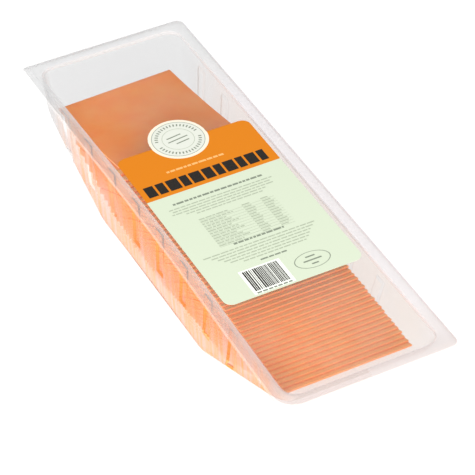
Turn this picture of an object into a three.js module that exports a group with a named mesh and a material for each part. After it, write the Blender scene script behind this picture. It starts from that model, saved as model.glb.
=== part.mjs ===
// A long clear tray of shingled cheese slices, closed with a flat clear film
// that carries a paper label. Millimetres, +Z up. X runs across the pack, Y runs
// along it towards the head of the label, and the tray's floor lies on Z = 0.
import * as THREE from 'three';

// Tray: overall size, flange and wall
const trayLength = 360;
const trayWidth = 117;
const trayHeight = 70;
const wall = 0.6;
const flange = 7;
const lipHeight = 2.4;
// The long left side is drawn in a little at its middle
const sideBow = 2.4;
// Outline corners of the flange: front left, front right, back right, back left
const flangeCorners = [13, 5, 5, 2];
const cavityCorner = 10;
const floorCorner = 10;
const sideDraft = 3.6;
const floorRound = 4.2;

// Side profile of the cavity: a short upright wall at each end, then a slope
const frontBreak = { run: 10, depth: 15 };
const frontSlopeRun = 112;
const backBreak = { run: 5.5, depth: 27 };
const backSlopeRun = 81;

// Upright ribs pressed into both long sides, a little closer together lower down
const ribCount = 8;
const ribWidth = 9.5;
const ribRamp = 1.6;
const ribMargin = 0.6;
const ribPitchAtRim = 34;
const ribPitchAtFloor = 31;
const ribMiddleAtRim = 14;
const ribMiddleAtFloor = 21;
const ribDepth = 1.8;
const ribTop = 6;
const ribBottom = 46;
const ribBlend = 3;

// Film and label
const gap = 0.3;
const filmThickness = 0.15;
const labelThickness = 0.15;
const labelWidth = 94;
const labelLength = 152.6;
const labelCentreY = -13.4;
const labelCorner = 6;
const sealRadius = 19.5;
const sealRise = 2;
const sealShift = -1.3;

// Slices: size, and how the row of them lies. Each leans on the one before it; towards
// the back they lie flatter and curl up, and the last one is a little turned
const sliceWidth = 85;
const sliceLength = 87;
const sliceThickness = 1.45;
const sliceSegments = 8;
const sliceGap = 0.3;
const sliceCount = 54;
const firstEdge = -153;
const floorClearance = 1.9;
// By place of the front edge: its underside's height, and the slice's slope and most sag
const edgeHeights = [[firstEdge, 52], [-94, 53.8], [-20, 54.8], [76, 54.2]];
const edgeSlopes = [[10, 0.478], [76, 0.18]];
const sagLimits = [[-30, 24], [76, -5]];
const sideDrift = 0.4;
const stackCentreX = 0.7;
const lastTurn = THREE.MathUtils.degToRad(2.4);
const lastLift = 0.35;

const clearPlastic = new THREE.MeshStandardMaterial({
  color: 0xe9e9e9,
  roughness: 0.12,
  metalness: 0,
  transparent: true,
  opacity: 0.35,
});
const clearFilm = clearPlastic.clone();
const paper = new THREE.MeshStandardMaterial({ color: 0xebf5db, roughness: 0.6, metalness: 0 });
const cheese = new THREE.MeshStandardMaterial({ color: 0xf0a070, roughness: 0.5, metalness: 0 });

const { lerp, clamp } = THREE.MathUtils;

// Straight-line interpolation through [position, value] pairs
function along(pairs, position) {
  const last = pairs.length - 1;
  let i = 1;
  while (i < last && position > pairs[i][0]) i += 1;
  const [p0, v0] = pairs[i - 1];
  const [p1, v1] = pairs[i];
  return lerp(v0, v1, clamp((position - p0) / (p1 - p0), 0, 1));
}

// Ends of the cavity at a depth below the rim, along Y
const cavityFront = -trayLength / 2 + flange;
const cavityBack = trayLength / 2 - flange;
const frontProfile = [
  [0, cavityFront],
  [frontBreak.depth, cavityFront + frontBreak.run],
  [trayHeight, cavityFront + frontBreak.run + frontSlopeRun],
];
const backProfile = [
  [0, cavityBack],
  [backBreak.depth, cavityBack - backBreak.run],
  [trayHeight, cavityBack - backBreak.run - backSlopeRun],
];

// Inward curve of walls where they turn into the floor
function floorInset(depth) {
  const rise = depth - (trayHeight - wall - floorRound);
  if (rise <= 0) return 0;
  return floorRound - Math.sqrt(Math.max(0, floorRound ** 2 - rise ** 2));
}

// How far the ribs stand in at a depth, from 0 to 1
function ribStrength(depth) {
  const fadeIn = (depth - ribTop) / ribBlend;
  const fadeOut = (ribBottom + ribBlend - depth) / ribBlend;
  return clamp(Math.min(fadeIn, fadeOut), 0, 1);
}

// Places along a long side at a depth, between the corners, each with its share of the
// rib's depth. Where a sloped end leaves no room, the rib fades and its places move in
const cornerSteps = 6;
function sideStations(depth, front, back) {
  const share = depth / trayHeight;
  const pitch = lerp(ribPitchAtRim, ribPitchAtFloor, share);
  const middle = lerp(ribMiddleAtRim, ribMiddleAtFloor, share);
  const room = ribWidth + 2 * ribRamp + ribMargin;
  const places = [];
  for (let rib = 0; rib < ribCount; rib += 1) {
    const wanted = middle + (rib - (ribCount - 1) / 2) * pitch;
    const lowest = front + (rib + 0.5) * room;
    const highest = back - (ribCount - rib - 0.5) * room;
    const centre = clamp(wanted, lowest, highest);
    const strength = 1 - clamp(Math.abs(centre - wanted) / ribBlend, 0, 1);
    for (const [side, flag] of [[-1, 0], [-1, 1], [1, 1], [1, 0]]) {
      const reach = ribWidth / 2 + (flag ? 0 : ribRamp);
      places.push({ y: centre + side * reach, strength: flag * strength });
    }
  }
  return places;
}

function drawnIn(x, y) {
  if (x >= 0) return x;
  return x + sideBow * Math.cos((Math.PI * y) / trayLength) ** 2;
}

// One closed ring of points round the tray, seen from above anticlockwise
function ring({ half, front, back, corners, z, rib, depth }) {
  const centres = [
    [-half + corners[0], front + corners[0], Math.PI],
    [half - corners[1], front + corners[1], 1.5 * Math.PI],
    [half - corners[2], back - corners[2], 0],
    [-half + corners[3], back - corners[3], 0.5 * Math.PI],
  ];
  const points = [];
  const corner = (index) => {
    const [cx, cy, start] = centres[index];
    for (let step = 0; step <= cornerSteps; step += 1) {
      const angle = start + (step / cornerSteps) * 0.5 * Math.PI;
      points.push([cx + corners[index] * Math.cos(angle), cy + corners[index] * Math.sin(angle)]);
    }
  };
  const side = (sign) => {
    const places = sideStations(depth, front + Math.max(...corners), back - Math.max(...corners));
    if (sign < 0) places.reverse();
    for (const { y, strength } of places) points.push([sign * (half - rib * strength), y]);
  };
  corner(0);
  corner(1);
  side(1);
  corner(2);
  corner(3);
  side(-1);
  return points.map(([x, y]) => new THREE.Vector3(drawnIn(x, y), y, z));
}

// Ring of the cavity wall at a depth; skin moves it outwards and down
function cavityRing(depth, skin) {
  const inset = floorInset(depth);
  const radius = lerp(cavityCorner, floorCorner, depth / trayHeight);
  return ring({
    half: trayWidth / 2 - flange - (sideDraft * depth) / trayHeight - inset + skin,
    front: along(frontProfile, depth) + inset - skin / 2,
    back: along(backProfile, depth) - inset + skin / 2,
    corners: Array(4).fill(radius),
    z: trayHeight - depth - skin,
    rib: ribDepth * ribStrength(depth),
    depth,
  });
}

function flangeRing(inset, z) {
  return ring({
    half: trayWidth / 2 - inset,
    front: -trayLength / 2 + inset,
    back: trayLength / 2 - inset,
    corners: flangeCorners.map((radius) => Math.max(radius - inset, 1)),
    z,
    rib: 0,
    depth: 0,
  });
}

// Skin through a stack of equal rings, closed by a fan over each end ring
function loft(rings) {
  const positions = [];
  const index = [];
  const count = rings[0].length;
  for (const points of rings) {
    for (const point of points) positions.push(point.x, point.y, point.z);
  }
  for (let row = 0; row < rings.length - 1; row += 1) {
    for (let i = 0; i < count; i += 1) {
      const a = row * count + i;
      const b = row * count + ((i + 1) % count);
      index.push(a, b, b + count, a, b + count, a + count);
    }
  }
  const cap = (row, inward) => {
    const middle = new THREE.Vector3();
    for (const point of rings[row]) middle.addScaledVector(point, 1 / count);
    positions.push(middle.x, middle.y, rings[row][0].z);
    const hub = positions.length / 3 - 1;
    for (let i = 0; i < count; i += 1) {
      const a = row * count + i;
      const b = row * count + ((i + 1) % count);
      if (inward) index.push(hub, b, a);
      else index.push(hub, a, b);
    }
  };
  cap(0, true);
  cap(rings.length - 1, false);
  const geometry = new THREE.BufferGeometry();
  geometry.setAttribute('position', new THREE.Float32BufferAttribute(positions, 3));
  geometry.setIndex(index);
  geometry.computeVertexNormals();
  return geometry;
}

function trayGeometry() {
  const floorDepth = trayHeight - wall;
  const roundShares = [1, 0.4, 0.1, 0];
  const ribFadeDepths = [34, 40];
  const depths = [
    0,
    ribTop,
    ribTop + ribBlend,
    frontBreak.depth,
    backBreak.depth,
    ...ribFadeDepths,
    ribBottom,
    ribBottom + ribBlend,
    ...roundShares.map((share) => floorDepth - share * floorRound),
  ];
  const outside = depths.map((depth) => cavityRing(depth, wall)).reverse();
  const rim = [
    flangeRing(wall, trayHeight - wall),
    flangeRing(wall, trayHeight - lipHeight),
    flangeRing(0, trayHeight - lipHeight),
    flangeRing(0, trayHeight),
  ];
  const inside = depths.map((depth) => cavityRing(depth, 0));
  return loft([...outside, ...rim, ...inside]);
}

function flatOutline(points, thickness) {
  const shape = new THREE.Shape(points.map((point) => new THREE.Vector2(point.x, point.y)));
  return new THREE.ExtrudeGeometry(shape, { depth: thickness, bevelEnabled: false });
}

// Rounded rectangle with a disc standing out over the middle of its head edge
function labelGeometry() {
  const w = labelWidth / 2;
  const h = labelLength / 2;
  const r = labelCorner;
  const neck = Math.sqrt(sealRadius ** 2 - sealRise ** 2);
  const neckAngle = Math.asin(-sealRise / sealRadius);
  const shape = new THREE.Shape();
  shape.moveTo(-w + r, -h);
  shape.lineTo(w - r, -h);
  shape.absarc(w - r, -h + r, r, -0.5 * Math.PI, 0);
  shape.lineTo(w, h - r);
  shape.absarc(w - r, h - r, r, 0, 0.5 * Math.PI);
  shape.lineTo(sealShift + neck, h);
  shape.absarc(sealShift, h + sealRise, sealRadius, neckAngle, Math.PI - neckAngle);
  shape.lineTo(-w + r, h);
  shape.absarc(-w + r, h - r, r, 0.5 * Math.PI, Math.PI);
  shape.lineTo(-w, -h + r);
  shape.absarc(-w + r, -h + r, r, Math.PI, 1.5 * Math.PI);
  return new THREE.ExtrudeGeometry(shape, {
    depth: labelThickness,
    bevelEnabled: false,
    curveSegments: 8,
  });
}

// Lowest that the slices come along the tray: over its floor and sloped ends
const restLine = [...frontProfile, ...[...backProfile].reverse()].map(
  ([depth, place]) => [place, trayHeight - depth + floorClearance],
);

// A slice's underside and upper face at a distance behind its front edge
function underside({ height, slope, sag }, distance) {
  return height - slope * distance - sag * (distance / sliceLength) ** 2;
}

function upperFace(slice, distance) {
  const fall = slice.slope + (2 * slice.sag * distance) / sliceLength ** 2;
  return underside(slice, distance) + sliceThickness * Math.hypot(1, fall);
}

function reachOf(slope, sag) {
  return sliceLength / Math.hypot(1, slope + sag / sliceLength);
}

// Sag of a slice, up to a limit, that leaves it clear of the one before and the tray
function settledSag(slice, previous, limit) {
  const firstShare = 0.24;
  const lastShare = 0.95;
  const steps = 18;
  let sag = limit;
  for (let step = 0; step <= steps; step += 1) {
    const distance = sliceLength * lerp(firstShare, lastShare, step / steps);
    if (distance >= reachOf(slice.slope, sag)) break;
    let lowest = along(restLine, slice.y + distance);
    const onPrevious = previous ? slice.y + distance - previous.y : Infinity;
    if (previous && onPrevious <= previous.reach) {
      lowest = Math.max(lowest, upperFace(previous, onPrevious) + sliceGap);
    }
    const room = underside({ ...slice, sag: 0 }, distance) - lowest;
    sag = Math.min(sag, room / (distance / sliceLength) ** 2);
  }
  return sag;
}

// Side view of the row, from the front: each slice settles on the one before it
function rowOfSlices() {
  const row = [];
  let y = firstEdge;
  for (let i = 0; i < sliceCount; i += 1) {
    const slope = along(edgeSlopes, y);
    const slice = { y, height: along(edgeHeights, y), slope };
    slice.sag = settledSag(slice, row[i - 1], along(sagLimits, y));
    slice.reach = reachOf(slope, slice.sag);
    row.push(slice);
    y += (sliceThickness * Math.hypot(1, slope) + sliceGap) / slope;
  }
  return row;
}

// A slice centred on Y = 0, bent along its slope and sag from front to rear
function sliceGeometry(slice) {
  const { reach } = slice;
  const geometry = new THREE.BoxGeometry(sliceWidth, reach, 1, 1, sliceSegments, 1);
  const position = geometry.attributes.position;
  for (let v = 0; v < position.count; v += 1) {
    const distance = position.getY(v) + reach / 2;
    const face = position.getZ(v) > 0 ? upperFace : underside;
    position.setZ(v, face(slice, distance));
  }
  geometry.computeVertexNormals();
  return geometry;
}

// Small uneven sideways shift of each slice, between -1 and 1
function drift(i) {
  const longWave = Math.sin(2.4 * i);
  const shortWave = Math.sin(5.1 * i);
  return 0.6 * longWave + 0.4 * shortWave;
}

const pack = new THREE.Group();

function addMesh(name, geometry, material, x, y, z) {
  const mesh = new THREE.Mesh(geometry, material);
  mesh.name = name;
  mesh.position.set(x, y, z);
  pack.add(mesh);
  return mesh;
}

addMesh('tray', trayGeometry(), clearPlastic, 0, 0, 0);

const filmBase = trayHeight + gap;
addMesh('lid_film', flatOutline(flangeRing(0, 0), filmThickness), clearFilm, 0, 0, filmBase);

const labelBase = filmBase + filmThickness + gap;
addMesh('label', labelGeometry(), paper, 0, labelCentreY, labelBase);

rowOfSlices().forEach((slice, i, row) => {
  const name = `slice_${String(i + 1).padStart(2, '0')}`;
  const geometry = sliceGeometry(slice);
  const isLast = i === row.length - 1;
  if (isLast) geometry.rotateZ(lastTurn);
  const x = stackCentreX + sideDrift * drift(i);
  const lift = isLast ? lastLift : 0;
  addMesh(name, geometry, cheese, x, slice.y + slice.reach / 2, lift);
});

export default pack;
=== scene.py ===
import bmesh
import bpy
import math
import random
from mathutils import Matrix, Vector


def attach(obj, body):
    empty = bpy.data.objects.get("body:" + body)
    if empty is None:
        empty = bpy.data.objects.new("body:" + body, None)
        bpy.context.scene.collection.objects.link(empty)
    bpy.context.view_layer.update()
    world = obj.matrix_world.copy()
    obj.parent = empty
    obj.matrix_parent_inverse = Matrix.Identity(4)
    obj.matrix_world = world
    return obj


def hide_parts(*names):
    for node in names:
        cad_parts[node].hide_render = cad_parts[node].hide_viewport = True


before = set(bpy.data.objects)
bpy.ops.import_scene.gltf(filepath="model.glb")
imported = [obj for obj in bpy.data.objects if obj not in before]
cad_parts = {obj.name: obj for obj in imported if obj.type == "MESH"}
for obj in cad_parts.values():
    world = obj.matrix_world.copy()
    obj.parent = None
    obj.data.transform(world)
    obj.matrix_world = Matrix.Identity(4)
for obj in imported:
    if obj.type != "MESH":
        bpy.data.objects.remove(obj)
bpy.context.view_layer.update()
MM = 0.001


# The row of cheese slices. Over fifty square slices of firm orange cheese, cut on a slicing
# machine and laid over each other like roof tiles: each leans on the one before it and sags
# on it, and towards the back they lie flatter and curl up. The last one is slightly turned.
slice_width = 85 * MM
slice_length = 87 * MM
slice_thickness = 1.45 * MM
slice_gap = 0.3 * MM
slice_count = 54
slice_bands = 16
cut_edge_round = 0.22 * MM
tray_line = ((-173, 70), (-163, 55), (-51, 0), (86.5, 0), (167.5, 43), (173, 70))
floor_clearance = 1.9
edge_heights = ((-153, 52.0), (-94, 53.8), (-20, 54.8), (76, 54.2))
edge_slopes = ((10, 0.478), (76, 0.18))
sag_limits = ((-30, 24), (76, -5))
contact_range = (0.24, 0.95)
contact_steps = 18
stack_centre = 0.7 * MM
side_drift = 0.4 * MM
last_turn = math.radians(2.4)
last_lift = 0.35 * MM
next_air = 0.03 * MM
strip_depth = 4 * MM


def mix(a, b, share):
    return a + (b - a) * share


def along(pairs, position):
    for (p0, v0), (p1, v1) in zip(pairs, pairs[1:]):
        if position / MM <= p1:
            return mix(v0, v1, max((position / MM - p0) / (p1 - p0), 0))
    return pairs[-1][1]


def linear(hexcode):
    channels = [int(hexcode[i:i + 2], 16) / 255 for i in (1, 3, 5)]
    return [c / 12.92 if c <= 0.04045 else ((c + 0.055) / 1.055) ** 2.4 for c in channels] + [1]


def deselect():
    if bpy.context.object and bpy.context.object.mode != "OBJECT":
        bpy.ops.object.mode_set(mode="OBJECT")
    bpy.ops.object.select_all(action="DESELECT")


def take(piece):
    deselect()
    piece.select_set(True)
    bpy.context.view_layer.objects.active = piece


def settle(piece):
    take(piece)
    bpy.ops.object.transform_apply(location=True, rotation=True, scale=True)


def join(pieces, name):
    deselect()
    for piece in pieces:
        piece.select_set(True)
    bpy.context.view_layer.objects.active = pieces[0]
    if len(pieces) > 1:
        bpy.ops.object.join()
    pieces[0].name = name
    pieces[0].data.name = name
    return pieces[0]


def add_modifier(piece, kind, **values):
    take(piece)
    modifier = piece.modifiers.new(kind.title(), kind)
    for key, value in values.items():
        setattr(modifier, key, value)
    bpy.ops.object.modifier_apply(modifier=modifier.name)


def node(tree, kind, links=None, values=None, **settings):
    made = tree.nodes.new("ShaderNode" + kind)
    for key, value in settings.items():
        setattr(made, key, value)
    for key, value in (values or {}).items():
        made.inputs[key].default_value = value
    for key, source in (links or {}).items():
        tree.links.new(source, made.inputs[key])
    return made


def ramp(tree, source, stops):
    made = node(tree, "ValToRGB", {"Fac": source})
    elements = made.color_ramp.elements
    while len(elements) < len(stops):
        elements.new(0.5)
    for element, (position, color) in zip(elements, stops):
        element.position = position
        element.color = linear(color) if isinstance(color, str) else color
    return made.outputs["Color"]


def new_material(name):
    material = bpy.data.materials.new(name)
    material.use_nodes = True
    tree = material.node_tree
    tree.nodes.clear()
    output = tree.nodes.new("ShaderNodeOutputMaterial")
    place = tree.nodes.new("ShaderNodeTexCoord").outputs["Object"]
    return material, tree, output.inputs["Surface"], place


def cheese_look(name, dark, light):
    material, tree, surface, place = new_material(name)
    mottle = node(tree, "TexNoise", {"Vector": place}, {"Scale": 90, "Detail": 4, "Roughness": 0.6})
    tone = ramp(tree, mottle.outputs["Fac"], ((0.35, dark), (0.65, light)))
    grain = node(tree, "TexNoise", {"Vector": place}, {"Scale": 900, "Detail": 3})
    relief = node(tree, "Bump", {"Height": grain.outputs["Fac"]},
                  {"Strength": 0.15, "Distance": 0.0002})
    body = node(tree, "BsdfPrincipled", {"Base Color": tone, "Normal": relief.outputs["Normal"]},
                {"Roughness": 0.5, "IOR": 1.42, "Specular IOR Level": 0.3,
                 "Subsurface Weight": 0.25, "Subsurface Scale": 0.002,
                 "Subsurface Radius": (1.0, 0.45, 0.15)})
    tree.links.new(body.outputs["BSDF"], surface)
    return material


# One slice is modelled flat, with its cut edges broken, and copied for every place in the row.
deselect()
bpy.ops.mesh.primitive_cube_add(size=1, location=(0, 0, 0))
flat_slice = bpy.context.object
flat_slice.scale = (slice_width, slice_length, slice_thickness)
settle(flat_slice)
bpy.ops.object.mode_set(mode="EDIT")
for cut in range(1, slice_bands):
    cut_at = (cut / slice_bands - 0.5) * slice_length
    bpy.ops.mesh.select_all(action="SELECT")
    bpy.ops.mesh.bisect(plane_co=(0, cut_at, 0), plane_no=(0, 1, 0))
bpy.ops.object.mode_set(mode="OBJECT")
add_modifier(flat_slice, "BEVEL", width=cut_edge_round, segments=2, limit_method="ANGLE",
             angle_limit=math.radians(50))

# Firm orange cheese, machine cut: smooth and slightly oily, with a soft inner glow, faint
# mottling and a fine drag from the blade. The side edges and the narrow strip of each slice
# that the next one leaves free get a paler colour than the broad faces, which is painted
# light, and the front edges a darker one, which is painted shade.
flat_slice.data.materials.append(cheese_look("cut_orange_cheese", "#ff8b2a", "#ff9839"))
flat_slice.data.materials.append(cheese_look("cheese_slice_edges", "#ffaf6c", "#ffb97a"))
flat_slice.data.materials.append(cheese_look("cheese_front_edges_painted_shade", "#e68e54", "#ec985e"))
broad_face, painted_lit_edge, painted_shade_front_edge = range(3)


def reach_of(slope, sag):
    return slice_length / math.hypot(1, slope + sag / slice_length)


def underside(lie, behind):
    return lie["height"] - lie["slope"] * behind - lie["sag"] * (behind / slice_length) ** 2


def upper_face(lie, behind):
    fall = lie["slope"] + 2 * lie["sag"] * behind / slice_length ** 2
    return underside(lie, behind) + slice_thickness * math.hypot(1, fall)


# Each slice sags until it would touch the slice before it or the tray.
def settled_sag(lie, before, limit):
    sag = limit
    for step in range(contact_steps + 1):
        behind = slice_length * mix(*contact_range, step / contact_steps)
        if behind >= reach_of(lie["slope"], sag):
            break
        lowest = (along(tray_line, lie["edge"] + behind) + floor_clearance) * MM
        on_before = lie["edge"] + behind - before["edge"] if before else slice_length
        if before and on_before <= before["reach"]:
            lowest = max(lowest, upper_face(before, on_before) + slice_gap)
        room = lie["height"] - lie["slope"] * behind - lowest
        sag = min(sag, room / (behind / slice_length) ** 2)
    return sag


lies = []
edge = edge_heights[0][0] * MM
for index in range(slice_count):
    slope = along(edge_slopes, edge)
    lie = {"edge": edge, "height": along(edge_heights, edge) * MM, "slope": slope}
    lie["sag"] = settled_sag(lie, lies[-1] if lies else None, along(sag_limits, edge) * MM)
    lie["reach"] = reach_of(slope, lie["sag"])
    lies.append(lie)
    edge += (slice_thickness * math.hypot(1, slope) + slice_gap) / slope

# A slice is bent along its line, and its upper face comes up to just under the next slice.
slices = []
for index, lie in enumerate(lies):
    last = index == slice_count - 1
    above = lies[min(index + 1, slice_count - 1)]
    copy = flat_slice.copy()
    copy.data = flat_slice.data.copy()
    bpy.context.collection.objects.link(copy)
    for vertex in copy.data.vertices:
        behind = (vertex.co.y / slice_length + 0.5) * lie["reach"]
        low = underside(lie, behind)
        high = upper_face(lie, behind)
        under_next = lie["edge"] + behind - above["edge"]
        if not last and under_next > 0:
            high = max(high, underside(above, under_next) - next_air)
        vertex.co.z = mix(low, high, vertex.co.z / slice_thickness + 0.5)
        vertex.co.y = behind - lie["reach"] / 2
    # Side edges and free strips take the paler material as painted light, front edges the darker
    # one as painted shade.
    for polygon in copy.data.polygons:
        in_strip = polygon.center.y < strip_depth - lie["reach"] / 2
        if abs(polygon.normal.x) > 0.5:
            polygon.material_index = painted_lit_edge
        elif in_strip and abs(polygon.normal.y) < 0.7 and not last:
            polygon.material_index = painted_lit_edge
        else:
            polygon.material_index = painted_shade_front_edge if polygon.normal.y < -0.7 else broad_face
    drift = side_drift * (0.6 * math.sin(2.4 * index) + 0.4 * math.sin(5.1 * index))
    place = Vector((stack_centre + drift, lie["edge"] + lie["reach"] / 2, last_lift if last else 0))
    turn = Matrix.Rotation(last_turn if last else 0, 4, "Z")
    copy.data.transform(Matrix.Translation(place) @ turn)
    slices.append(copy)
bpy.data.objects.remove(flat_slice)
cheese_row = join(slices, "cheese_row")
take(cheese_row)
bpy.ops.object.shade_smooth_by_angle(angle=math.radians(40))
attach(cheese_row, "root")
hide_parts(*[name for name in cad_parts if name.startswith("slice_")])


# The tray. One sheet of clear PET, drawn hot over a mould: a flat floor, long sloped ends
# under short upright walls, a flat flange with a turned-down lip, and eight ribs pressed
# into each long side so that the thin wall doesn't buckle.
cavity_half = 51.5 * MM
cavity_end = 173 * MM
cavity_corner = 10 * MM
rim_height = 70 * MM
floor_depth = 69.4 * MM
side_draft = 3.6 * MM
front_profile = ((0, -173), (15, -163), (70, -51))
back_profile = ((0, 173), (27, 167.5), (70, 86.5))
profile_blend = 5
profile_steps = 4
wall_depths = (0, 1.5, 4, 7.5, 10, 13, 15, 17, 20, 24, 27, 30, 34, 39, 43, 47.5, 52, 57, 62,
               64.4, 66.5, 68.2, 69.1, 69.4)
floor_round = 5 * MM
bend_round = 0.8 * MM
flange_half = 58.5 * MM
flange_end = 180 * MM
flange_corners = {(-1, -1): 13 * MM, (1, -1): 5 * MM, (1, 1): 5 * MM, (-1, 1): 2 * MM}
lip_drop = 1.9 * MM
side_bow = 2.4 * MM
rib_count = 8
rib_width = 9.5 * MM
rib_ramp = 1.4 * MM
rib_sink = 1.5 * MM
rib_top = 7.5 * MM
rib_foot = 47.5 * MM
rib_pitches = (34 * MM, 31 * MM)
rib_middles = (14 * MM, 21 * MM)
sheet_thickness = 0.45 * MM
same_level = 1e-5
same_point = 1e-6


def pick(piece, kind, test):
    bpy.ops.mesh.select_mode(type={"verts": "VERT", "edges": "EDGE", "faces": "FACE"}[kind])
    bpy.ops.mesh.select_all(action="DESELECT")
    shape = bmesh.from_edit_mesh(piece.data)
    for part in getattr(shape, kind):
        if test(part):
            part.select_set(True)
    bmesh.update_edit_mesh(piece.data)


# Where an end wall stands at a depth below the rim, with its two slopes blended.
def end_at(profile, depth):
    (d0, y0), (d1, y1), (d2, y2) = profile
    steps = range(-profile_steps, profile_steps + 1)
    total = 0
    for step in steps:
        d = min(max(depth / MM + profile_blend * step / profile_steps, d0), d2)
        total += mix(y0, y1, d / d1) if d < d1 else mix(y1, y2, (d - d1) / (d2 - d1))
    return total / len(steps) * MM


# How far the rounded foot of the wall has turned in at a depth below the rim.
def foot_curl(depth):
    rise = max(depth - (floor_depth - floor_round), 0)
    return floor_round - math.sqrt(max(floor_round ** 2 - rise ** 2, 0))


deselect()
bpy.ops.mesh.primitive_plane_add(size=1, location=(0, 0, rim_height))
tray = bpy.context.object
tray.name = "tray_sheet"
tray.scale = (2 * cavity_half, 2 * cavity_end, 1)
settle(tray)
bpy.ops.object.mode_set(mode="EDIT")
bpy.ops.mesh.select_all(action="SELECT")
bpy.ops.mesh.bevel(offset=cavity_corner, segments=8, affect="VERTICES")
for above, below in zip(wall_depths, wall_depths[1:]):
    above, below = above * MM, below * MM
    bpy.ops.mesh.select_mode(type="FACE")
    bpy.ops.mesh.extrude_region_move(TRANSFORM_OT_translate={"value": (0, 0, above - below)})
    curl = foot_curl(below) - foot_curl(above)
    narrower = side_draft * (below - above) / rim_height + curl
    front_move = end_at(front_profile, below) - end_at(front_profile, above) + curl
    back_move = end_at(back_profile, below) - end_at(back_profile, above) - curl
    level = rim_height - below
    middle = (end_at(front_profile, above) + end_at(back_profile, above)) / 2
    moves = (((lambda v: v.co.x > 0), (-narrower, 0, 0)),
             ((lambda v: v.co.x < 0), (narrower, 0, 0)),
             ((lambda v: v.co.y < middle), (0, front_move, 0)),
             ((lambda v: v.co.y > middle), (0, back_move, 0)))
    for side, move in moves:
        pick(tray, "verts", lambda v: abs(v.co.z - level) < same_level and side(v))
        bpy.ops.transform.translate(value=move)
    pick(tray, "faces", lambda f: abs(f.normal.z) > 0.99
         and abs(f.calc_center_median().z - level) < same_level)
pick(tray, "faces", lambda f: abs(f.normal.z) > 0.99
     and f.calc_center_median().z > rim_height - same_level)
bpy.ops.mesh.delete(type="ONLY_FACE")
bpy.ops.mesh.select_all(action="SELECT")
bpy.ops.mesh.normals_make_consistent(inside=False)

# Each rib is cut into the wall by two tilted planes, then sunk with sloped flanks.
rib_lines = []
for rib in range(rib_count):
    from_middle = rib - (rib_count - 1) / 2
    at_rim, at_floor = (middle + from_middle * pitch
                        for middle, pitch in zip(rib_middles, rib_pitches))
    rib_lines.append((at_rim, at_floor))
    normal = Vector((0, rim_height, at_floor - at_rim))
    for side in (-1, 1):
        pick(tray, "faces",
             lambda f: abs(f.normal.x) > 0.9 and f.calc_center_median().z > 4 * MM)
        beside = at_rim + side * rib_width / 2
        bpy.ops.mesh.bisect(plane_co=(0, beside, rim_height), plane_no=normal)


def near_rib(middle, distance):
    share = (rim_height - middle.z) / rim_height
    return any(abs(middle.y - mix(top, foot, share)) < distance for top, foot in rib_lines)


def on_rib(face):
    middle = face.calc_center_median()
    in_height = rib_top < rim_height - middle.z < rib_foot
    return abs(face.normal.x) >= 0.9 and in_height and near_rib(middle, rib_width / 2 - 0.2 * MM)


def on_flank(face):
    middle = face.calc_center_median()
    tilted = abs(face.normal.y) > 0.35 or abs(face.normal.z) > 0.3
    on_side_wall = abs(face.normal.x) > 0.3 and middle.z < rim_height - 3 * MM
    return tilted and on_side_wall and near_rib(middle, rib_width / 2 + 1 * MM)


pick(tray, "faces", on_rib)
bpy.ops.mesh.inset(thickness=rib_ramp, depth=-rib_sink)
tray.data.materials.append(None)
tray.data.materials.append(None)
pick(tray, "faces", on_flank)
shape = bmesh.from_edit_mesh(tray.data)
for face in shape.faces:
    face.material_index = 1 if face.select else 0
bmesh.update_edit_mesh(tray.data)

# The flange grows out of the cavity's upper edge, and its lip turns down.
pick(tray, "edges", lambda e: all(abs(v.co.z - rim_height) < same_point for v in e.verts))
bpy.ops.mesh.extrude_region_move()
shape = bmesh.from_edit_mesh(tray.data)
for vertex in shape.verts:
    if not vertex.select:
        continue
    sx, sy = math.copysign(1, vertex.co.x), math.copysign(1, vertex.co.y)
    dx = abs(vertex.co.x) - (cavity_half - cavity_corner)
    dy = abs(vertex.co.y) - (cavity_end - cavity_corner)
    radius = flange_corners[(int(sx), int(sy))]
    if dx > -same_point and dy > -same_point:
        angle = math.atan2(max(dy, 0), max(dx, 0))
        vertex.co.x = sx * (flange_half - radius + radius * math.cos(angle))
        vertex.co.y = sy * (flange_end - radius + radius * math.sin(angle))
    elif dx > dy:
        vertex.co.x = sx * flange_half
    else:
        vertex.co.y = sy * flange_end
bmesh.update_edit_mesh(tray.data)
bpy.ops.mesh.extrude_region_move(TRANSFORM_OT_translate={"value": (0, 0, -lip_drop)})
bpy.ops.mesh.select_all(action="SELECT")
bpy.ops.mesh.remove_doubles(threshold=same_point)
bpy.ops.mesh.normals_make_consistent(inside=False)
bpy.ops.object.mode_set(mode="OBJECT")
for vertex in tray.data.vertices:
    if vertex.co.x < 0:
        vertex.co.x += side_bow * math.cos(math.pi * vertex.co.y / (2 * flange_end)) ** 2
add_modifier(tray, "BEVEL", width=bend_round, segments=3, limit_method="ANGLE",
             angle_limit=math.radians(18))
add_modifier(tray, "SOLIDIFY", thickness=sheet_thickness, offset=1)
take(tray)
bpy.ops.object.shade_smooth_by_angle(angle=math.radians(50))

# Clear PET, thermoformed: seen through almost unchanged where the eye meets it square, and
# whitish where it is seen along a wall or on the sealed rim. Low down on the left, beside the
# cheese, the cheese's light in the wall is painted into the sheet's colour as soft upright
# streaks of amber and pink, which is painted reflection.
clear_tray, tree, surface, place = new_material("clear_thermoformed_pet")
whole_length = {"From Min": -flange_end, "From Max": flange_end}
axes = node(tree, "SeparateXYZ", {"Vector": place})
lengthwise = node(tree, "MapRange", {"Value": axes.outputs["Y"]}, whole_length).outputs["Result"]
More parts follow.
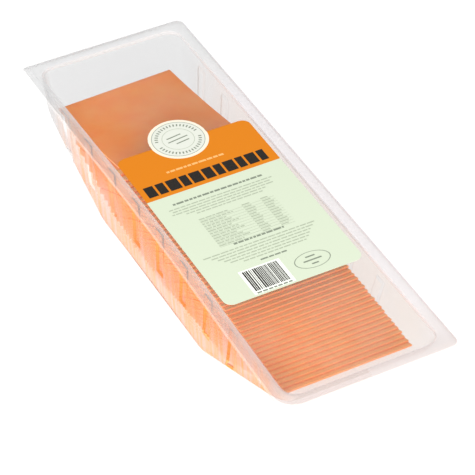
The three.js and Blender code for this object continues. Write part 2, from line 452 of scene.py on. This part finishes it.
# Painted reflection of the cheese in the wall: amber and pink along its length.
amber = ramp(tree, lengthwise, ((0.02, "#f0e4dc"), (0.08, "#f0a04e"), (0.8, "#ecac72"),
                                (0.92, "#cfcdcc")))
pink = ramp(tree, lengthwise, ((0.02, "#f4eeec"), (0.08, "#e6b09a"), (0.8, "#e8bcaa"),
                               (0.92, "#d2d0d0")))
upright = node(tree, "Mapping", {"Vector": place}, {"Scale": (0.2, 1, 0.05)})
waves = node(tree, "TexNoise", {"Vector": upright.outputs["Vector"]}, {"Scale": 230, "Detail": 3})
streaks = node(tree, "MapRange", {"Value": waves.outputs["Fac"]},
               {"From Min": 0.4, "From Max": 0.6})
painted_cheese_glow = node(tree, "Mix", {0: streaks.outputs["Result"], 6: amber, 7: pink},
                 data_type="RGBA")
# The rim's whitish haze, tinted pinkish at the front and on the left by painted reflection of the
# cheese.
rim_glow = ramp(tree, lengthwise, ((0.0, "#e8dcd6"), (0.12, "#f4f3f9"), (0.72, "#f4f4fa"),
                                   (0.88, "#ededed")))
left_glow = ramp(tree, lengthwise, ((0.0, "#e6d6ce"), (0.12, "#ecdcd8"), (0.7, "#efdfda"),
                                    (0.86, "#ededed")))
on_left = node(tree, "Math", {0: axes.outputs["X"]}, {1: 0}, operation="LESS_THAN")
side_glow = node(tree, "Mix", {0: on_left.outputs["Value"], 6: rim_glow, 7: left_glow},
                 data_type="RGBA")
through_tint = ramp(tree, lengthwise, ((0.02, "#fcfafa"), (0.1, "#fefaf7"), (0.7, "#fefaf8"),
                                       (0.9, "#fafafa")))
rim = node(tree, "MapRange", {"Value": axes.outputs["Z"]},
           {"From Min": rim_height - 3 * MM, "From Max": rim_height - 1.5 * MM})
foot = ramp(tree, lengthwise, [((position * MM + flange_end) / (2 * flange_end),
                                (height * MM, height * MM, height * MM, 1))
                               for position, height in tray_line])
above_foot = node(tree, "Math", {0: axes.outputs["Z"], 1: foot}, operation="SUBTRACT")
on_side = node(tree, "MapRange", {"Value": axes.outputs["X"]},
               {"From Min": -43 * MM, "From Max": -46 * MM, "To Max": 0.56})
by_cheese = node(tree, "MapRange",
                 {"Value": axes.outputs["Y"], "To Max": on_side.outputs["Result"]},
                 {"From Min": 175 * MM, "From Max": 160 * MM})
low = node(tree, "MapRange",
           {"Value": above_foot.outputs["Value"], "To Max": by_cheese.outputs["Result"]},
           {"From Min": 50 * MM, "From Max": 14 * MM})
facing = node(tree, "LayerWeight", values={"Blend": 0.5})
grazing = node(tree, "Math", {0: facing.outputs["Facing"]}, {1: 6}, operation="POWER")
on_wall = node(tree, "MapRange",
               {"Value": grazing.outputs["Value"], "To Min": low.outputs["Result"]},
               {"To Max": 0.6})
on_rim = node(tree, "MapRange", {"Value": grazing.outputs["Value"]},
              {"To Min": 0.32, "To Max": 0.7})

# On the bowed left side only the inner, sealed half of the rim is quite so whitish.
turn = node(tree, "Math", {0: lengthwise}, {1: math.pi}, operation="MULTIPLY")
bowed = node(tree, "Math", {0: turn.outputs["Value"]}, operation="SINE")
bow = node(tree, "Math", {0: bowed.outputs["Value"], 1: bowed.outputs["Value"]},
           operation="MULTIPLY")
straight = node(tree, "Math", {0: bow.outputs["Value"], 2: axes.outputs["X"]},
                {1: -side_bow}, operation="MULTIPLY_ADD")
sealed = node(tree, "MapRange", {"Value": straight.outputs["Value"]},
              {"From Min": -55 * MM, "From Max": -54 * MM, "To Min": 0.6})
rim_cover = node(tree, "Math", {0: on_rim.outputs["Result"], 1: sealed.outputs["Result"]},
                 operation="MULTIPLY")
cover = node(tree, "Mix", {0: rim.outputs["Result"], 2: on_wall.outputs["Result"],
                           3: rim_cover.outputs["Value"]})
glow = node(tree, "Mix", {0: rim.outputs["Result"], 6: painted_cheese_glow.outputs[2],
                          7: side_glow.outputs[2]}, data_type="RGBA")
through = node(tree, "BsdfTransparent", {"Color": through_tint})
# The sheet's colour is also its emission: a faint painted glow.
sheet = node(tree, "BsdfPrincipled",
             {"Base Color": glow.outputs[2], "Emission Color": glow.outputs[2]},
             {"Roughness": 0.25, "IOR": 1.5, "Emission Strength": 0.1})
blend = node(tree, "MixShader",
             {0: cover.outputs[0], 1: through.outputs["BSDF"], 2: sheet.outputs["BSDF"]})
tree.links.new(blend.outputs["Shader"], surface)

# The flanks of the ribs, in the same clear PET, bend the light of the cheese towards the eye.
# This light is painted into their colour as narrow amber streaks on the left side, and next
# to nothing on the right, and the flanks glow faintly as painted light.
rib_bends, tree, surface, place = new_material("clear_rib_flanks")
axes = node(tree, "SeparateXYZ", {"Vector": place})
lengthwise = node(tree, "MapRange", {"Value": axes.outputs["Y"]}, whole_length).outputs["Result"]
painted_cheese_tint = ramp(tree, lengthwise, ((0.05, "#ffeac2"), (0.6, "#ffeccc"), (0.72, "#fbf2ea"),
                                     (0.85, "#fafafa")))
painted_cheese_haze = ramp(tree, lengthwise, ((0.05, "#ffc07a"), (0.65, "#ffc88c"), (0.75, "#f6e6da"),
                                     (0.85, "#ececec")))
on_left = node(tree, "Math", {0: axes.outputs["X"]}, {1: 0}, operation="LESS_THAN")
tint = node(tree, "Mix", {0: on_left.outputs["Value"], 7: painted_cheese_tint},
            {6: linear("#fbf9f8")}, data_type="RGBA")
haze = node(tree, "Mix", {0: on_left.outputs["Value"], 7: painted_cheese_haze},
            {6: linear("#f0e6e2")}, data_type="RGBA")
through = node(tree, "BsdfTransparent", {"Color": tint.outputs[2]})
# The amber haze is also emitted: a faint painted glow.
sheet = node(tree, "BsdfPrincipled",
             {"Base Color": haze.outputs[2], "Emission Color": haze.outputs[2]},
             {"Roughness": 0.15, "IOR": 1.5, "Emission Strength": 0.1})
lower = node(tree, "MapRange", {"Value": axes.outputs["Z"]},
             {"From Min": 62 * MM, "From Max": 54 * MM, "To Min": 0.02, "To Max": 0.16})
share = node(tree, "MapRange",
             {"Value": on_left.outputs["Value"], "To Max": lower.outputs["Result"]},
             {"To Min": 0.05})
blend = node(tree, "MixShader",
             {0: share.outputs["Result"], 1: through.outputs["BSDF"], 2: sheet.outputs["BSDF"]})
tree.links.new(blend.outputs["Shader"], surface)
tray.data.materials[0] = clear_tray
tray.data.materials[1] = rib_bends
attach(tray, "root")
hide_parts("tray")


# The film. One thin sheet of clear plastic, laid over the tray from a roll and heat sealed to
# its flange all round. It hangs a little slack.
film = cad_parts["lid_film"]

# Clear film, extruded thin: seen through, under a faint grey haze that comes and goes with
# its slack waves.
clear_film, tree, surface, place = new_material("clear_sealing_film")
slack = node(tree, "TexNoise", {"Vector": place}, {"Scale": 22, "Detail": 1})
relief = node(tree, "Bump", {"Height": slack.outputs["Fac"]},
              {"Strength": 0.5, "Distance": 0.003})
haze = node(tree, "MapRange", {"Value": slack.outputs["Fac"]},
            {"From Min": 0.35, "From Max": 0.65, "To Min": 0.03, "To Max": 0.06})
through = node(tree, "BsdfTransparent", values={"Color": linear("#f5f5f5")})
sheet = node(tree, "BsdfPrincipled", {"Normal": relief.outputs["Normal"]},
             {"Base Color": linear("#e4e4e6"), "Roughness": 0.15, "IOR": 1.5})
blend = node(tree, "MixShader",
             {0: haze.outputs["Result"], 1: through.outputs["BSDF"], 2: sheet.outputs["BSDF"]})
tree.links.new(blend.outputs["Shader"], surface)
film.data.materials.clear()
film.data.materials.append(clear_film)


# The label. Coated paper, cut to a rounded rectangle with a round seal standing out over its
# head, glued on the film. The head is printed orange, the rest pale green, and the seal has
# a cream border round a pale green field.
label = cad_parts["label"]
band_foot = 17.1 * MM
seal_centre = (-1.3 * MM, 64.6 * MM)
seal_radius = 19.7 * MM
seal_field = 17.6 * MM

# Printed coated paper: even fields of ink with a dull sheen, just broken by the fibres.
label_paper, tree, surface, place = new_material("printed_coated_paper")
axes = node(tree, "SeparateXYZ", {"Vector": place})
above = node(tree, "Math", {0: axes.outputs["Y"]}, {1: band_foot}, operation="GREATER_THAN")
level = node(tree, "CombineXYZ", {"X": axes.outputs["X"], "Y": axes.outputs["Y"]})
from_seal = node(tree, "VectorMath", {0: level.outputs["Vector"]}, {1: (*seal_centre, 0)},
                 operation="DISTANCE")
in_seal = node(tree, "Math", {0: from_seal.outputs["Value"]}, {1: seal_radius},
               operation="LESS_THAN")
in_field = node(tree, "Math", {0: from_seal.outputs["Value"]}, {1: seal_field},
                operation="LESS_THAN")
band = node(tree, "Mix", {0: above.outputs["Value"]},
            {6: linear("#ccd6bf"), 7: linear("#d47a00")}, data_type="RGBA")
border = node(tree, "Mix", {0: in_seal.outputs["Value"], 6: band.outputs[2]},
              {7: linear("#e9e2cf")}, data_type="RGBA")
field = node(tree, "Mix", {0: in_field.outputs["Value"], 6: border.outputs[2]},
             {7: linear("#d8dbd0")}, data_type="RGBA")
fibre = node(tree, "TexNoise", {"Vector": place}, {"Scale": 700, "Detail": 2})
relief = node(tree, "Bump", {"Height": fibre.outputs["Fac"]},
              {"Strength": 0.08, "Distance": 0.0001})
body = node(tree, "BsdfPrincipled",
            {"Base Color": field.outputs[2], "Normal": relief.outputs["Normal"]},
            {"Roughness": 0.5, "IOR": 1.45, "Specular IOR Level": 0.25})
tree.links.new(body.outputs["BSDF"], surface)
label.data.materials.clear()
label.data.materials.append(label_paper)


# The print on the label. Plain bars and rings of ink in rows and blocks, with a table, a
# barcode and the seal's border, all printed flat on the paper. Places are in millimetres.
print_level = 70.95 * MM
under_print = print_level - 0.02 * MM
block_foot, block_head = 20.4, 30.8
block_widths = (5, 9.6)
block_gap = 1.5
bar_widths = (1.6, 5.4)
bar_gap = 0.7
least_bar = 0.8
small_print = 0.9
row_pitch = 2.5
close_pitch = 2.4
table_rows = 12
bar_unit = 0.35
ink_shades = {"black": ("#17120e", "#25201a"), "grey": ("#798272", "#878f80"),
              "pale": ("#a4ae97", "#b0b9a4"), "peach": ("#f0ae64", "#f4b874"),
              "white": ("#f6f8f0", "#f0f3ea")}
chance = random.Random(7)
stamps = {shade: [] for shade in ink_shades}
deselect()
bpy.ops.mesh.primitive_plane_add(size=1, location=(0, 0, 0))
unit_bar = bpy.context.object


def stamp(shade, left, right, foot, head, level=print_level):
    copy = unit_bar.copy()
    copy.data = unit_bar.data.copy()
    bpy.context.collection.objects.link(copy)
    size = Matrix.Diagonal(((right - left) * MM, (head - foot) * MM, 1, 1))
    place = Matrix.Translation(((left + right) / 2 * MM, (foot + head) / 2 * MM, level))
    copy.data.transform(place @ size)
    stamps[shade].append(copy)
    return copy


def bar_row(shade, left, right, foot, height):
    x = left
    while x < right - least_bar:
        width = min(chance.uniform(*bar_widths), right - x)
        stamp(shade, x, x + width, foot, foot + height)
        x += width + bar_gap


def ring_of_ink(shade, centre, radius, width, stretch=1):
    deselect()
    inner = radius - width
    bpy.ops.mesh.primitive_circle_add(vertices=64, radius=inner * MM, location=(0, 0, 0))
    hoop = bpy.context.object
    bpy.ops.object.mode_set(mode="EDIT")
    bpy.ops.mesh.select_all(action="SELECT")
    bpy.ops.mesh.extrude_region_move()
    bpy.ops.transform.resize(value=(radius / inner, radius / inner, 1))
    bpy.ops.mesh.select_all(action="SELECT")
    bpy.ops.mesh.normals_make_consistent(inside=False)
    bpy.ops.object.mode_set(mode="OBJECT")
    place = Matrix.Translation((centre[0], centre[1], print_level))
    hoop.data.transform(place @ Matrix.Diagonal((stretch, 1, 1, 1)))
    stamps[shade].append(hoop)


# Head of the label: a row of tall black blocks, and farther up a short row of peach bars.
left = -43.4
while left < 37.5:
    width = chance.uniform(*block_widths)
    stamp("black", left, min(left + width, 41), block_foot, block_head)
    left += width + block_gap
bar_row("peach", -23, 17.3, 37, 1.7)

# Body: a bold row and rows of fine bars, then a table with a rule under each of its rows.
bar_row("grey", -33.6, 28.8, 7.2, 1.6)
upper_rows = ((-38.4, 33.6), (-37, 31), (-38.4, 33), (-30, 26), (-24, 22))
for row, (left, right) in enumerate(upper_rows):
    bar_row("pale", left, right, 3.4 - row * close_pitch, small_print)
for row in range(table_rows):
    foot = -12.4 - row * row_pitch
    bar_row("pale", -25.9, -6 + 3 * math.sin(row * 2.1), foot, small_print)
    for column in (4, 17):
        right = column + 6 + math.sin(row * 1.7 + column)
        stamp("pale", column, right, foot, foot + small_print)
    stamp("pale", -25.9, 25.9, foot - 0.95, foot - 0.75)

# Under the table: another bold row, more rows of fine bars and a short last one.
bar_row("grey", -17.3, 17.3, -42.6, 1.5)
lower_rows = ((-40.3, 36.5), (-36, 34), (-33, 31), (-30, 29), (-27, 27), (-19.2, 24))
for row, (left, right) in enumerate(lower_rows):
    bar_row("pale", left, right, -46.4 - row * row_pitch, small_print)
bar_row("grey", -9.6, 8.6, -62.6, 1.2)

# Barcode on its white patch, with a row of short bars along its foot.
stamp("white", -27.4, 0.5, -88.4, -65.8, under_print)
x = -25.4
while x < -2.2:
    width = bar_unit * chance.choice((1, 1, 2, 2, 3))
    stamp("black", x, x + width, -85.6, -67)
    x += width + bar_unit * chance.choice((1, 1, 2))
bar_row("grey", -25.4, -1.6, -88, 1.3)

# Seal: two thin rings with short marks between them and a few strokes in the middle.
ring_of_ink("grey", seal_centre, 17.3, 0.3)
ring_of_ink("pale", seal_centre, 10.6, 0.3)
seal_marks = 40
on_seal = Matrix.Translation((*seal_centre, print_level))
for mark in range(seal_marks):
    if mark % 20 in (0, 19):
        continue
    tick = stamp("grey", -0.45, 0.45, 13.1, 15.2, 0)
    turn = (mark + 0.5) / seal_marks * 2 * math.pi + math.pi / 2
    tick.data.transform(on_seal @ Matrix.Rotation(turn, 4, "Z"))
for left, right, foot in ((-6.5, 4, 3.2), (-7.5, 7, -0.4), (-3.5, 6, -4)):
    stroke = stamp("grey", left, right, foot, foot + 0.9, 0)
    stroke.data.transform(on_seal @ Matrix.Rotation(0.12, 4, "Z"))

# Outlined oval beside the barcode with three short lines in it.
oval_centre = (18.2 * MM, -76.3 * MM)
oval_height, oval_width = 7.2, 12
ring_of_ink("grey", oval_centre, oval_height, 0.35, oval_width / oval_height)
for left, right, foot in ((15, 21.4, -73.6), (12, 24.4, -77), (16, 20.6, -80.4)):
    stamp("grey", left, right, foot, foot + 1.1)
bpy.data.objects.remove(unit_bar)

# Printing ink, one material for each shade: matt, and faintly uneven where the paper's fibres
# take up more or less of it.
for shade, copies in stamps.items():
    piece = join(copies, "print_" + shade)
    printed, tree, surface, place = new_material("printing_ink_" + shade)
    fibre = node(tree, "TexNoise", {"Vector": place}, {"Scale": 1200, "Detail": 2})
    dark, light = ink_shades[shade]
    uneven = ramp(tree, fibre.outputs["Fac"], ((0.35, dark), (0.65, light)))
    relief = node(tree, "Bump", {"Height": fibre.outputs["Fac"]},
                  {"Strength": 0.08, "Distance": 0.0001})
    body = node(tree, "BsdfPrincipled",
                {"Base Color": uneven, "Normal": relief.outputs["Normal"]},
                {"Roughness": 0.5, "IOR": 1.45, "Specular IOR Level": 0.25})
    tree.links.new(body.outputs["BSDF"], surface)
    piece.data.materials.clear()
    piece.data.materials.append(printed)
    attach(piece, "root")


# The stage: a sheet of white backdrop paper so bright that the pack leaves hardly a shadow on
# it, an even white room, a low soft light in front, another on the left, and the camera at
# the photograph's angle.
floor_level = -0.5 * MM
deselect()
bpy.ops.mesh.primitive_plane_add(size=8, location=(0, 0, floor_level))
floor = bpy.context.object
floor.name = "floor"
white, tree, surface, place = new_material("white_backdrop_paper")
body = node(tree, "BsdfPrincipled",
            values={"Base Color": (0.15, 0.15, 0.15, 1), "Roughness": 0.9,
                    "Emission Color": (1, 1, 1, 1), "Emission Strength": 0.9})
tree.links.new(body.outputs["BSDF"], surface)
floor.data.materials.append(white)

world = bpy.data.worlds.new("studio_air")
world.use_nodes = True
world.node_tree.nodes["Background"].inputs["Color"].default_value = (1, 1, 1, 1)
world.node_tree.nodes["Background"].inputs["Strength"].default_value = 0.74
bpy.context.scene.world = world


def soft_light(name, place, size, power):
    lamp = bpy.data.lights.new(name, "AREA")
    lamp.shape = "SQUARE"
    lamp.size = size
    lamp.energy = power
    holder = bpy.data.objects.new(name, lamp)
    holder.location = place
    holder.rotation_mode = "QUATERNION"
    holder.rotation_quaternion = (-Vector(place)).to_track_quat("-Z", "Y")
    bpy.context.collection.objects.link(holder)


soft_light("front_light", (-0.6, -2.0, 1.45), 1.6, 48)
soft_light("left_light", (-1.6, -1.85, 0.85), 1.4, 50)

camera_data = bpy.data.cameras.new("camera")
camera_data.lens = 184.8
camera_data.sensor_width = 36
camera_data.clip_start = 0.05
camera_data.clip_end = 20
camera = bpy.data.objects.new("camera", camera_data)
camera.location = (-0.5342, -1.0257, 1.0519)
camera.rotation_mode = "QUATERNION"
looking = Vector((0.35086, 0.66457, -0.65973)).to_track_quat("-Z", "Y")
roll = Matrix.Rotation(math.radians(-0.106), 3, "Z").to_quaternion()
camera.rotation_quaternion = looking @ roll
bpy.context.collection.objects.link(camera)
bpy.context.scene.camera = camera
bpy.context.scene.view_settings.view_transform = "Standard"
